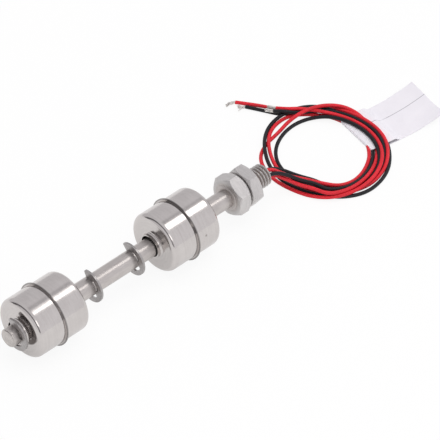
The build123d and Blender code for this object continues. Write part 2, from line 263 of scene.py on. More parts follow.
@dataclass(frozen=True)
class Steel(Finish):
    """Stainless steel with fine working lines, a slight stain and a satin or bright skin.

    Heat is a weld's place, its tint's reach and its outer radius. Roots are where a thread starts and its
    root and crest radius, below which painted shade with a grease brown darkens the thread. The seam is the
    radius beyond which painted shade darkens the float's flange, and the spot is a closed vent. All are metres.
    """

    roughness: float
    grain: Grain
    axis_height: float
    line_depth: float = 1.2e-6
    speckle: float = 0.0
    heat: tuple[float, float, float] | None = None
    roots: tuple[float, float, float] | None = None
    seam: float | None = None
    spot: Point | None = None

    HEAT_BROWN = (0.4, 0.31, 0.26)
    # Brown of the painted shade, with some grease, in the thread's roots.
    ROOT_SHADE_BROWN = (0.26, 0.2, 0.17)
    # Grey of the painted shade on the float's flange beyond the seam.
    SEAM_SHADE_GREY = (0.2, 0.19, 0.185)
    SPOT_GREY = (0.12, 0.1, 0.09)
    MOTTLE_DEPTH = 2.2

    def worked(self, shader: Shader, places: Places, radius: Value) -> tuple[Value, Value]:
        """What the working of the metal left.

        Args:
            shader, places: as for the inputs.
            radius: distance from the axis.

        Returns:
            Fine lines and broad mottle.
        """
        along, across, up = places
        if self.grain is Grain.TURNED:
            return (shader.noise((along, radius, 0.0), 9000.0, detail=2.0, rough=0.7),
                    shader.noise((along, radius, across * 0.1), 1500.0))
        if self.grain is Grain.DRAWN:
            return (shader.noise((along * 0.02, across, up), 9000.0, detail=2.0, rough=0.7),
                    shader.noise((along * 0.2, across, up), 1100.0))
        return shader.noise(places, 7000.0, rough=0.7), shader.noise(places, 900.0, detail=4.0)

    def marked(self, shader: Shader, colour: Paint, places: Places, radius: Value, mottle: Value) -> Paint:
        """Lay the weld's tint, painted shade with a grease brown in the thread's roots, painted shade on the
        float's flange beyond the seam and the closed vent's spot over a colour.

        Args:
            shader, places, radius: as for the working lines.
            colour: the bare metal's colour.
            mottle: broad mottle, which the tint follows.

        Returns:
            The marked colour.
        """
        if self.heat:
            weld, reach, edge = self.heat
            near = 1.0 - (places[0] - weld).size().between(0.3 * reach, reach)
            tint = near * (1.0 - radius.between(edge, 1.2 * edge)) * (0.05 + 0.4 * mottle)
            colour = shader.blend(tint, colour, self.HEAT_BROWN)
        if self.roots:
            # Painted shade with a grease brown darkens the thread below its crest radius, most below its root radius.
            start, root, crest = self.roots
            root_shade = (1.0 - radius.between(root, crest)) * places[0].between(start, start + 0.5 * MM)
            colour = shader.blend(root_shade * 0.6, colour, self.ROOT_SHADE_BROWN)
        if self.seam:
            # Painted shade darkens the float's flange beyond the seam radius.
            beyond = radius.between(self.seam, self.seam + 0.25 * MM)
            colour = shader.blend(beyond * 0.7, colour, self.SEAM_SHADE_GREY)
        if self.spot:
            offsets = [value - place for value, place in zip(places, self.spot)]
            squares = [offset * offset for offset in offsets]
            inside = 1.0 - ((squares[0] + squares[1] + squares[2]) ** 0.5).between(0.25 * MM, 0.75 * MM)
            colour = shader.blend(inside * 0.5, colour, self.SPOT_GREY)
        return colour

    def inputs(self, shader: Shader, places: Places) -> dict:
        """What feeds the surface shader."""
        across, height = places[1], places[2] - self.axis_height
        radius = (across * across + height * height) ** 0.5
        lines, mottle = self.worked(shader, places, radius)
        stain = shader.noise(places, 190.0, detail=5.0, rough=0.6)
        colour = self.toned(shader, lines * 0.3 + mottle * 0.35 + stain * 0.35)
        colour = self.marked(shader, colour, places, radius, mottle)
        if self.speckle:
            pits = shader.noise(places, 2600.0, detail=2.0).between(0.66, 0.74)
            colour = shader.blend(pits * self.speckle, colour, self.dark)
        scored = shader.bump(lines, self.line_depth)
        return {
            "Base Color": colour,
            "Metallic": 1.0,
            "Roughness": self.roughness * (0.72 + lines * 0.3 + stain * 0.26),
            "Normal": shader.bump(mottle, self.MOTTLE_DEPTH * self.line_depth, scored),
        }


@dataclass(frozen=True)
class Insulation(Finish):
    """Soft wire insulation with a waxy skin, faint extrusion ripples and a little dust."""

    sheen: float = 0.34
    dust_depth: float = 5e-6
    ripple_depth: float = 6e-5

    def inputs(self, shader: Shader, places: Places) -> dict:
        """What feeds the surface shader."""
        ripple = shader.noise(places, 130.0, detail=4.0)
        dust = shader.noise(places, 3200.0, rough=0.7)
        return {
            "Base Color": self.toned(shader, ripple * 0.7 + dust * 0.3),
            "Roughness": 0.38 + ripple * 0.14 + dust * 0.1,
            "Specular IOR Level": self.sheen,
            "Normal": shader.bump(dust, self.dust_depth, shader.bump(ripple, self.ripple_depth)),
        }


@dataclass(frozen=True)
class Paper(Finish):
    """Thin coated label paper with fibres, faint creases and one printed rule line out from its fold."""

    ink: Colour
    fold: tuple[float, float]
    rule_across: float = 2.6 * MM
    rule_start: float = 1.5 * MM
    rule_width: float = 0.28 * MM
    ink_share: float = 0.75
    fibre_depth: float = 6e-6
    crease_depth: float = 5e-5

    def inputs(self, shader: Shader, places: Places) -> dict:
        """What feeds the surface shader."""
        along, across, up = places
        out, side = turned(along - self.fold[0], across - self.fold[1], LABEL_TURN)
        fibres = shader.noise((out * 0.3, side, up), 4200.0, detail=4.0, rough=0.7)
        cloud = shader.noise((out, side, up), 110.0)
        crease = shader.noise((out, side * 0.25, 0.0), 420.0, detail=2.0)
        line = 1.0 - (side - self.rule_across).size().between(0.3 * self.rule_width, 0.7 * self.rule_width)
        upper_leaf = up.between(0.15 * MM, 0.35 * MM)
        shown = line * out.between(self.rule_start, self.rule_start + MM) * upper_leaf
        bare = self.toned(shader, fibres * 0.35 + cloud * 0.65)
        return {
            "Base Color": shader.blend(shown * self.ink_share, bare, self.ink),
            "Roughness": 0.5 + fibres * 0.2,
            "Coat Weight": 0.05 + cloud * 0.05,
            "Coat Roughness": 0.4,
            "Normal": shader.bump(fibres, self.fibre_depth, shader.bump(crease, self.crease_depth)),
        }


@dataclass(frozen=True)
class Compound(Finish):
    """A moulded or cast stuff of the inner pieces: ferrite, resin, sleeving or glass."""

    roughness: float
    scale: float
    depth: float
    see_through: float = 0.0

    def inputs(self, shader: Shader, places: Places) -> dict:
        """What feeds the surface shader."""
        grain = shader.noise(places, self.scale, detail=4.0, rough=0.65)
        cloud = shader.noise(places, 0.12 * self.scale)
        return {
            "Base Color": self.toned(shader, grain * 0.5 + cloud * 0.5),
            "Roughness": self.roughness + (grain - 0.5) * 0.2,
            "Transmission Weight": self.see_through,
            "Normal": shader.bump(grain, self.depth),
        }


class Slot(Enum):
    """The record's material slots, and the plug, which is the stem's steel with a rougher finish."""

    STEM = "stem_steel"
    PLUG = "welded plug"
    CLIP = "clip_steel"
    HEAD = "head_steel"
    FLOAT = "float_steel"
    MAGNET = "magnet_ferrite"
    GLASS = "reed_glass"
    REED = "reed_wire"
    SLEEVE = "sleeving"
    POTTING = "potting_resin"
    RED = "red_insulation"
    BLACK = "black_insulation"
    TINNED = "tinned_copper"
    LABEL = "label_paper"


class Wire(Enum):
    """The four lead wires: two to each reed switch."""

    RED_1 = "red_1"
    BLACK_1 = "black_1"
    RED_2 = "red_2"
    BLACK_2 = "black_2"

    @property
    def slot(self) -> Slot:
        """The slot of the wire's insulation."""
        return Slot.RED if self.value.startswith("red") else Slot.BLACK


def placed(name: str, data: bpy.types.ID) -> Piece:
    """A new object with some data, linked to the scene."""
    piece = bpy.data.objects.new(name, data)
    bpy.context.scene.collection.objects.link(piece)
    return piece


def new_mesh(name: str, points: Array, faces: list[tuple], smooth_angle: float = 30.0) -> Piece:
    """Make a mesh object that is smooth except at corners.

    Args:
        name: the piece's name.
        points: corners in millimetres, one row each.
        faces: tuples of corner numbers.
        smooth_angle: degrees beyond which an edge stays sharp.

    Returns:
        The object, linked to the scene.
    """
    mesh = bpy.data.meshes.new(name)
    mesh.from_pydata([tuple(p) for p in np.asarray(points) * MM], [], faces)
    mesh.validate()
    mesh.shade_smooth()
    mesh.set_sharp_from_angle(angle=radians(smooth_angle))
    return placed(name, mesh)


def band_faces(first: int, second: int, count: int) -> list[tuple]:
    """Quads between two closed rings of count corners, by the number of each ring's first corner."""
    return [(first + i, first + (i + 1) % count, second + (i + 1) % count, second + i) for i in range(count)]


@dataclass
class TurnedPiece:
    """A piece turned about the stem's axis, with flats or a thread cut into its outside."""

    name: str
    axis_z: float
    angles: Array
    stations: list[tuple[float, Array]] = field(default_factory=list)

    def cut(self, x: float, radius: float | Array) -> None:
        """Add one ring of the outline at x, with a radius or one radius for each angle."""
        self.stations.append((x, np.broadcast_to(radius, self.angles.shape).copy()))

    def build(self) -> Piece:
        """Join the rings, and the last to the first, to a closed shell."""
        points = [
            np.stack([np.full_like(r, x), r * np.cos(self.angles), self.axis_z + r * np.sin(self.angles)], 1)
            for x, r in self.stations
        ]
        rings, sides = len(points), len(self.angles)
        faces = sum((band_faces(r * sides, (r + 1) % rings * sides, sides) for r in range(rings)), [])
        return new_mesh(self.name, np.vstack(points), faces)


@dataclass
class Hexagon:
    """Six flats with their corners chamfered at both ends, as on a bolt head or nut."""

    across_flats: float
    start_inset: float = 0.15
    start_angle: float = 30.0
    end_inset: float = 0.15
    end_angle: float = 30.0
    turn: float = 0.0
    edge: float = 0.12
    cone_rings: int = 10
    sides: int = 96

    @property
    def angles(self) -> Array:
        """Angles of the outline's points, with one on each corner."""
        return radians(self.turn) + np.arange(self.sides) * 2 * pi / self.sides

    def outline(self) -> Array:
        """Distance of the flats from the axis at each angle."""
        beside = np.mod(self.angles - radians(self.turn), pi / 3) - pi / 6
        return self.across_flats / 2 / np.cos(beside)

    def chamfer(self, inset: float, angle: float) -> list[tuple[float, float]]:
        """Steps of a chamfer, from the round face to the full corner.

        Args:
            inset: how far the round face lies inside the flats.
            angle: degrees between the cone and the face.

        Returns:
            Pairs of depth and radius.
        """
        face = self.across_flats / 2 - inset
        widening = self.across_flats / 2 / cos(pi / 6) - face
        slope = tan(radians(angle))
        return [(t * widening * slope, face + t * widening) for t in np.linspace(0, 1, self.cone_rings)]

    def cut_into(self, piece: TurnedPiece, start: float, end: float) -> None:
        """Add the hexagon's rings to a piece, with softened edges.

        Args:
            piece: the turned piece.
            start, end: where the hexagon begins and ends along the stem.
        """
        for place, inward, inset, angle in ((start, 1, self.start_inset, self.start_angle),
                                            (end, -1, self.end_inset, self.end_angle)):
            rings = [(place, self.across_flats / 2 - inset - self.edge)]
            rings += [(place + inward * (0.3 * self.edge + depth), np.minimum(cone, self.outline()))
                      for depth, cone in self.chamfer(inset, angle)]
            for x, radius in rings[::inward]:
                piece.cut(x, radius)


@dataclass
class ThreadedHead:
    """Hexagon, weld ring and threaded shank, with the lock nut that runs on the thread."""

    axis_z: float
    head_x: float
    shoulder_x: float
    end_x: float
    across_flats: float = 16.0
    head_turn: float = 33.0
    cone_inset: float = 1.0
    cone_angle: float = 40.0
    nut_turn: float = 3.0
    stem_radius: float = 4.0
    weld_width: float = 1.6
    weld_height: float = 0.5
    socket: float = 5.0
    bore: float = 3.0
    bore_chamfer: float = 0.25
    thread_radius: float = 4.925
    pitch: float = 1.5
    thread_depth: float = 0.9
    crest: float = 0.14
    flanks: float = 0.6
    run_out_start: float = 0.4
    run_out: float = 1.2
    tip_chamfer: float = 0.8
    nut_clearance: float = 0.08
    countersink: float = 0.6
    steps_per_turn: int = 14

    def thread(self, x: float, angles: Array) -> Array:
        """Radius of the thread at x for each angle, with its run-out and tip chamfer."""
        phase = np.mod((x - self.shoulder_x) / self.pitch - angles / (2 * pi), 1.0)
        groove = np.clip((np.abs(phase - 0.5) * 2 - self.crest) / self.flanks, 0.0, 1.0)
        cut = min(1.0, max(0.0, (x - self.shoulder_x - self.run_out_start) / self.run_out))
        tip = self.thread_radius - max(0.0, x - (self.end_x - self.tip_chamfer))
        return np.minimum(self.thread_radius - self.thread_depth * groove * cut, tip)

    def build_head(self) -> Piece:
        """Build the one turned piece of ring, hexagon and shank."""
        hexagon = Hexagon(self.across_flats, end_inset=self.cone_inset, end_angle=self.cone_angle,
                          turn=self.head_turn)
        piece = TurnedPiece("head_with_thread", self.axis_z, hexagon.angles)
        ring_start = self.head_x - self.weld_height
        piece.cut(ring_start, self.stem_radius)
        piece.cut(ring_start, self.stem_radius + 0.4 * self.weld_height)
        for turn in np.linspace(0, pi / 2, 6):
            piece.cut(self.head_x - self.weld_height * cos(turn),
                      self.stem_radius + 0.5 * self.weld_height
                      + (self.weld_width - 0.5 * self.weld_height) * sin(turn))
        hexagon.cut_into(piece, self.head_x, self.shoulder_x)
        count = int(round((self.end_x - self.shoulder_x) / self.pitch * self.steps_per_turn))
        for x in np.linspace(self.shoulder_x, self.end_x, count):
            piece.cut(x, self.thread(x, hexagon.angles))
        piece.cut(self.end_x, self.bore + self.bore_chamfer)
        piece.cut(self.end_x - self.bore_chamfer, self.bore)
        piece.cut(self.head_x + self.socket, self.bore)
        piece.cut(self.head_x + self.socket, self.stem_radius)
        return piece.build()

    def build_nut(self, start: float, end: float) -> Piece:
        """Build the lock nut between two places along the stem."""
        hexagon = Hexagon(self.across_flats, turn=self.nut_turn)
        piece = TurnedPiece("lock_nut_with_chamfers", self.axis_z, hexagon.angles)
        hexagon.cut_into(piece, start, end)
        hole = self.thread_radius + self.nut_clearance
        piece.cut(end, hole + self.countersink)
        piece.cut(end - self.countersink, hole)
        piece.cut(start + self.countersink, hole)
        piece.cut(start, hole + self.countersink)
        return piece.build()


@dataclass
class CoilLayer:
    """The four lead wires: down from the thread, round the loose coil and out to their tails.

    Places are millimetres along from the thread's end, across from the stem's axis and up from the floor.
    A turn is (angle in degrees, radius, layer), with layer 0 on the floor and each layer a wire higher.
    """

    thread_end: float
    wire_diameter: float = 1.6
    centre: tuple[float, float] = (36.4, 1.0)
    stretch: float = 1.027
    stretch_heading: float = 43.7
    step: float = 18.0
    samples: int = 6
    label_half_width: float = 12.0
    label_ends: tuple[float, float] = (-0.8, 15.5)
    label_top: float = 1.9
    inside_label: float = 0.93
    over_label: float = 2.68
    steps: int = 480
    gap: float = 1.68
    exit_freedom: float = 0.3
    floor_push: float = 0.6
    spread: float = 0.6
    overshoot: float = 1.6
    sinking: float = 0.02
    stiffness: float = 0.05
    hold: float = 0.015
    flattening: float = 0.06

    EXITS = {
        Wire.RED_1: [(-0.6, -0.2, 15.46), (3.3, -0.5, 14.3), (7.2, -1.7, 10.8), (11.4, -3.9, 7.2), (15.8, -7.6, 4.4)],
        Wire.BLACK_1: [(-0.6, -1.95, 14.0), (4.3, -2.5, 13.2), (9.0, -4.4, 10.0), (13.4, -7.6, 6.4),
                       (17.8, -11.9, 3.9)],
        Wire.RED_2: [(-0.6, 0.0, 12.0), (4.0, -0.9, 11.3), (8.2, -4.0, 8.1), (12.0, -8.4, 5.3), (15.4, -13.2, 3.3)],
        Wire.BLACK_2: [(-0.6, 1.5, 13.8), (5.0, 1.1, 12.8), (10.5, -0.1, 9.0), (15.9, -3.5, 4.6),
                       (20.4, -8.9, 1.7)],
    }
    TURNS = {
        Wire.RED_1: [
            (222, 20.8, 1.5), (232, 21.7, 1.2), (245, 21.9, 1), (256, 21.2, 1), (266, 20.2, 0.9), (278, 19.2, 0.5),
            (295, 18.4, 0), (325, 18.3, 0), (345, 18.8, 0), (365, 19.3, 0), (380, 20.6, 0), (396, 22.6, 0),
            (408, 23.6, 0.1), (418, 24.6, 0.9), (427, 26.4, 1.2), (435, 27.4, 1.1), (445, 27.2, 1), (457, 26.6, 1),
            (473, 25.1, 1), (487, 23.6, 1), (504, 22.3, 1), (519, 21.8, 1), (540, 21.5, 0.5), (560, 21.6, 0),
            (575, 22.0, 0), (590, 22.8, 0), (605, 23.8, 0), (620, 24.3, 0.2), (635, 24.8, 0.6), (650, 24.9, 1.1),
            (667, 25.0, 1.1), (680, 25.2, 1.1), (694, 25.6, 1.2), (708, 25.5, 1.2), (725, 25.5, 1.2),
            (738, 25.9, 1.1), (748, 26.5, 0.9), (758, 27.2, 0.5), (768, 27.9, 0.1), (778, 28.4, 0),
        ],
        Wire.BLACK_1: [
            (226, 23.9, 1.3), (234, 23.8, 1.1), (249, 23.0, 1), (262, 21.8, 0.8), (275, 20.6, 0.4), (288, 19.9, 0.1),
            (307, 19.8, 0), (345, 20.4, 0), (365, 21.2, 0), (380, 22.8, 0), (396, 26.0, 0), (408, 28.0, 0),
            (420, 28.9, 0.3), (430, 29.0, 0.9), (441, 28.8, 1), (450, 28.6, 0.8), (462, 27.9, 0.6), (474, 26.7, 0.8),
            (488, 25.4, 1), (502, 24.5, 1), (517, 24.3, 0.9), (530, 24.0, 0.5), (545, 23.6, 0.1), (560, 23.6, 0),
            (575, 24.1, 0), (588, 24.9, 0), (600, 26.0, 0), (611, 27.0, 0), (622, 27.4, 0), (632, 27.1, 0),
            (645, 26.6, 0), (661, 26.0, 0), (675, 25.7, 0), (690, 26.0, 0), (706, 26.2, 0), (722, 26.2, 0),
            (738, 26.0, 0.3), (750, 26.0, 0.5), (762, 26.2, 0.1), (774, 26.6, 0), (784, 27.5, 0),
        ],
        Wire.RED_2: [
            (228, 26.8, 1.2), (237, 26.3, 1.1), (253, 24.9, 1), (270, 23.4, 1), (290, 22.2, 0.7), (310, 21.6, 0.1),
            (330, 21.9, 0), (345, 22.6, 0), (360, 24.2, 0), (372, 26.0, 0), (382, 26.8, 0.4), (391, 26.9, 1.2),
            (399, 26.5, 1.9), (408, 25.8, 2), (417, 25.0, 2), (428, 24.4, 1.8), (440, 23.8, 1.3), (452, 23.6, 0.9),
            (464, 23.2, 0.2), (476, 24.0, 0), (487, 26.2, 0), (497, 27.0, 0), (506, 27.2, 0), (514, 26.9, 0),
            (525, 26.4, 0), (540, 25.6, 0), (553, 25.1, 0.1), (567, 25.6, 0.2), (581, 26.2, 0.3), (595, 26.4, 0.6),
            (605, 25.9, 0.9), (615, 25.3, 1), (625, 24.8, 1), (637, 24.2, 1), (648, 23.8, 1), (664, 23.3, 1),
            (676, 23.0, 1.1), (690, 22.5, 1.2), (707, 22.1, 1.2), (720, 22.0, 1.2), (732, 22.0, 1.1),
            (753, 22.4, 0.9), (768, 23.2, 0.6), (780, 24.6, 1.0), (789, 26.2, 1.8),
        ],
        Wire.BLACK_2: [
            (226, 19.4, 0.4), (237, 19.4, 0.1), (248, 20.2, 0), (262, 21.6, 0), (280, 22.8, 0), (292, 23.4, 0),
            (304, 23.2, 0.4), (316, 22.6, 0.9), (330, 22.0, 1.2), (344, 21.2, 1.2), (357, 20.7, 1.2),
            (371, 20.4, 1.2), (382, 20.4, 1), (395, 20.9, 0.9), (409, 21.5, 0.6), (431, 22.0, 0), (447, 21.6, 0),
            (465, 20.9, 0), (503, 20.6, 0), (523, 20.3, 0), (545, 20.0, 0), (565, 20.0, 0), (581, 20.4, 0),
            (596, 21.2, 0), (610, 22.2, 0), (622, 22.7, 0), (635, 23.1, 0), (653, 23.5, 0), (667, 23.8, 0.1),
            (676, 24.0, 0.4), (686, 24.1, 0.9), (694, 24.1, 1.2), (720, 23.8, 1.2), (732, 23.8, 1.1),
            (743, 23.9, 1), (756, 24.4, 0.8), (770, 25.0, 0.4), (782, 25.2, 0.8), (793, 26.0, 1.8),
        ],
    }
    TAILS = {
        Wire.RED_1: [(44.2, 30.2, 0.9), (41.7, 33.7, 0.85), (39.3, 38.8, 0.85), (36.0, 44.0, 0.85),
                     (31.6, 50.1, 0.9)],
        Wire.BLACK_1: [(41.2, 30.5, 0.9), (38.9, 33.5, 0.9), (36.8, 37.9, 0.85), (32.7, 45.1, 0.9)],
        Wire.RED_2: [(42.8, 29.0, 4.0), (41.1, 31.8, 3.4), (40.1, 34.2, 2.7)],
        Wire.BLACK_2: [(40.1, 29.5, 4.0), (38.9, 31.6, 3.3), (38.1, 33.6, 2.6)],
    }

    def turns(self, wire: Wire) -> Array:
        """Control points of one wire's turns, twenty to a full turn, read off its rough turns."""
        rough = np.array(self.TURNS[wire], float)
        count = int(round((rough[-1, 0] - rough[0, 0]) / self.step)) + 1
        angles = np.linspace(rough[0, 0], rough[-1, 0], count)
        radius = np.interp(angles, rough[:, 0], rough[:, 1]) / cos(radians(self.step / 2))
        height = self.wire_diameter * (0.5 + np.interp(angles, rough[:, 0], rough[:, 2]))
        turn = np.radians(angles)
        flat = np.stack([radius * np.cos(turn), radius * np.sin(turn)], 1)
        heading = radians(self.stretch_heading)
        away = np.array([sin(heading), cos(heading)])
        flat += (self.stretch - 1) * (flat @ away)[:, None] * away
        return np.column_stack([flat + self.centre, height])

    def curve_weights(self, count: int) -> Array:
        """Weights that turn control points into points of their smooth curve.

        Args:
            count: number of control points.

        Returns:
            One row of weights for each curve point.
        """
        rows = []
        for span in range(count - 2):
            for u in np.arange(self.samples) / self.samples:
                row = np.zeros(count)
                row[span] = (1 - u) ** 2 * (1.0 if span == 0 else 0.5)
                row[span + 2] = u * u * (1.0 if span == count - 3 else 0.5)
                row[span + 1] = 1 - row[span] - row[span + 2]
                rows.append(row)
        rows.append(np.eye(count)[-1])
        return np.array(rows)

    def rests(self, line: Array) -> Array:
        """Lowest height that each curve point may have, on the floor, in the label's loop or over it."""
        out, side = turned(*(line[:, :2] - LABEL_FOLD).T, LABEL_TURN)
        start, end = self.label_ends
        at_label = (out > start) & (out < end) & (np.abs(side) < self.label_half_width)
        over = at_label & (line[:, 2] > self.label_top)
        return np.select([over, at_label], [self.over_label, self.inside_label], self.wire_diameter / 2)

    def settle(self) -> dict[Wire, Array]:
        """Let the turns sink and push each other apart, so that none lies in another.

        Returns:
            Each wire's control points in millimetres, in the switch's own frame.
        """
        wires = list(Wire)
        rough = {w: np.vstack([self.EXITS[w], self.turns(w), self.TAILS[w]]) for w in wires}
        free = {w: np.r_[np.zeros(len(self.EXITS[w]) - 1), self.exit_freedom, np.ones(len(self.turns(w))),
                         np.zeros(len(self.TAILS[w]))] for w in wires}
        laid = {w: p.copy() for w, p in rough.items()}
        weights = {w: self.curve_weights(len(p)) for w, p in rough.items()}
        line = np.vstack([weights[w] @ rough[w] for w in wires])
        counts = [len(weights[w]) for w in wires]
        starts = np.cumsum([0, *counts])
        owner = np.repeat(range(len(wires)), counts)
        order = np.concatenate([np.arange(n) for n in counts])
        lowest = self.rests(line)
        one, two = np.triu_indices(len(line), 1)
        apart = (owner[one] != owner[two]) | (np.abs(order[one] - order[two]) >= 6 * self.samples)
        apart &= np.linalg.norm(line[one] - line[two], axis=1) < 5 * self.wire_diameter
        one, two = one[apart], two[apart]
        for _ in range(self.steps):
            line = np.vstack([weights[w] @ laid[w] for w in wires])
            between = line[one] - line[two]
            distance = np.linalg.norm(between, axis=1) + 1e-9
            close = distance < self.gap
            push = between[close] / distance[close, None] * (self.gap - distance[close, None]) / 2
            force, touches = np.zeros_like(line), np.zeros(len(line))
            for index, sign in ((one[close], 1), (two[close], -1)):
                np.add.at(force, index, sign * push)
                np.add.at(touches, index, 1)
            force /= np.maximum(touches, 1)[:, None]
            low = np.clip(lowest - line[:, 2], 0, None)
            force[:, 2] += self.floor_push * low
            for w, start, end in zip(wires, starts, starts[1:]):
                held = (touches[start:end] > 0) | (low[start:end] > 0)
                share = weights[w][held].sum(0) + self.spread
                move = weights[w].T @ force[start:end] / share[:, None] * self.overshoot
                move[:, 2] -= self.sinking
                bend, wanted = np.zeros_like(move), np.zeros_like(move)
                bend[1:-1] = np.diff(laid[w], 2, axis=0)
                wanted[1:-1] = np.diff(rough[w], 2, axis=0)
                move[:, :2] += self.stiffness * (bend - wanted)[:, :2] + self.hold * (rough[w] - laid[w])[:, :2]
                move[:, 2] += self.flattening * bend[:, 2]
                laid[w] += move * free[w][:, None]
                laid[w][:, 2] = np.maximum(laid[w][:, 2], self.wire_diameter / 2)
        return {w: p + np.array([self.thread_end, 0.0, 0.0]) for w, p in laid.items()}


@dataclass
class LeadWires:
    """The four cords with their stripped, twisted and tinned ends."""

    layer: CoilLayer
    materials: dict[Slot, Material]
    strand_diameter: float = 0.4
    strands: int = 10
    turns_per_mm: float = 0.22
    splay: float = 0.12
    frayed_splay: float = 1.0
    middle_splay: float = 0.4
    shortest: float = 0.12
    bent_tip: float = 1.3
    root: float = -0.15
    rings: int = 14
    sides: int = 8
    end_taper: float = 0.6
    floor_gap: float = 0.02
    seed: int = 11

    TIPS = {
        Wire.RED_1: (27.3, 52.2, 1.2), Wire.BLACK_1: (29.4, 46.9, 0.9),
        Wire.RED_2: (38.4, 38.0, 2.2), Wire.BLACK_2: (36.2, 37.2, 2.2),
    }

    def line_length(self, points: Array) -> float:
        """Length in millimetres of the smooth curve of some control points."""
        line = self.layer.curve_weights(len(points)) @ points
        return float(np.linalg.norm(np.diff(line, axis=0), axis=1).sum())

    def cord(self, wire: Wire, points: Array) -> Piece:
        """Build one wire's insulation as one smooth spline."""
        name = f"lead_wire_{wire.value}"
        curve = bpy.data.curves.new(name, "CURVE")
        curve.dimensions = "3D"
        curve.bevel_depth = self.layer.wire_diameter / 2 * MM
        curve.bevel_resolution = 5
        curve.resolution_u = 8
        curve.use_fill_caps = True
        spline = curve.splines.new("NURBS")
        spline.points.add(len(points) - 1)
        for point, place in zip(spline.points, points):
            point.co = (*(place * MM), 1.0)
        spline.order_u = 3
        spline.use_endpoint_u = True
        curve.materials.append(self.materials[wire.slot])
        return placed(name, curve)

    def tinned_end(self, wire: Wire, start: Array) -> Piece:
        """Build the twisted strands beyond a wire's insulation.

        Args:
            wire: the wire. One is frayed and another's tip is bent.
            start: where the insulation ends.

        Returns:
            The strands as one piece.
        """
        ahead = np.array(self.TIPS[wire]) + np.array([self.layer.thread_end, 0.0, 0.0]) - start
        length = float(np.linalg.norm(ahead))
        ahead /= length
        across = np.cross(ahead, (0.0, 0.0, 1.0))
        across /= np.linalg.norm(across)
        up = np.cross(across, ahead)
        splay = self.frayed_splay if wire is Wire.BLACK_1 else self.splay
        droop = self.bent_tip if wire is Wire.RED_1 else 0.0
        angles = np.arange(self.sides) * 2 * pi / self.sides
        circle = self.strand_diameter / 2 * (np.outer(np.cos(angles), across) + np.outer(np.sin(angles), up))
        chance = np.random.default_rng(self.seed)
        rings, faces = [], []
        for strand in range(self.strands):
            lean = chance.normal(0, splay, 2) * (1.0 if strand else self.middle_splay)
            reach = length * (1 - self.shortest * chance.random())
            first = len(rings) * self.sides
            last = first + (self.rings - 1) * self.sides
            for t in np.linspace(self.root, 1, self.rings):
                turn = 2 * pi * (strand / (self.strands - 1) + self.turns_per_mm * t * length)
                out = self.strand_diameter * (1.1 + 0.3 * max(t, 0)) if strand else 0.0
                side = out * cos(turn) + lean[0] * max(t, 0) ** 2 - droop * max(t, 0) ** 3
                rise = out * sin(turn) + abs(lean[1]) * max(t, 0) ** 2
                middle = start + ahead * reach * t + across * side + up * rise
                rings.append(middle + circle * (1.0 if t < 1 else self.end_taper))
            for base in range(first, last, self.sides):
                faces += band_faces(base, base + self.sides, self.sides)
            faces += [tuple(reversed(range(first, first + self.sides))), tuple(range(last, last + self.sides))]
        corners = np.vstack(rings)
        corners[:, 2] = np.maximum(corners[:, 2], self.floor_gap)
        piece = new_mesh(f"tinned_strands_{wire.value}", corners, faces, 60.0)
        piece.data.materials.append(self.materials[Slot.TINNED])
        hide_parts(f"tinned_end_{wire.value}")
        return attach(piece, "switch")

    def build(self, label: Piece) -> None:
        """Build every cord.

        Args:
            label: the paper label, which is on the cords; not used.
        """
        for wire, points in self.layer.settle().items():
            piece = self.cord(wire, points)
            end = self.tinned_end(wire, points[-1])
            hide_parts(f"wire_exit_{wire.value}", f"wire_tail_{wire.value}", "wire_coil")
            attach(piece, "switch")
            length = self.line_length(points)
            tuple(points[0] * MM)
            self.layer.wire_diameter * MM
            log.info("%s is %.1f mm long", piece.name, length)


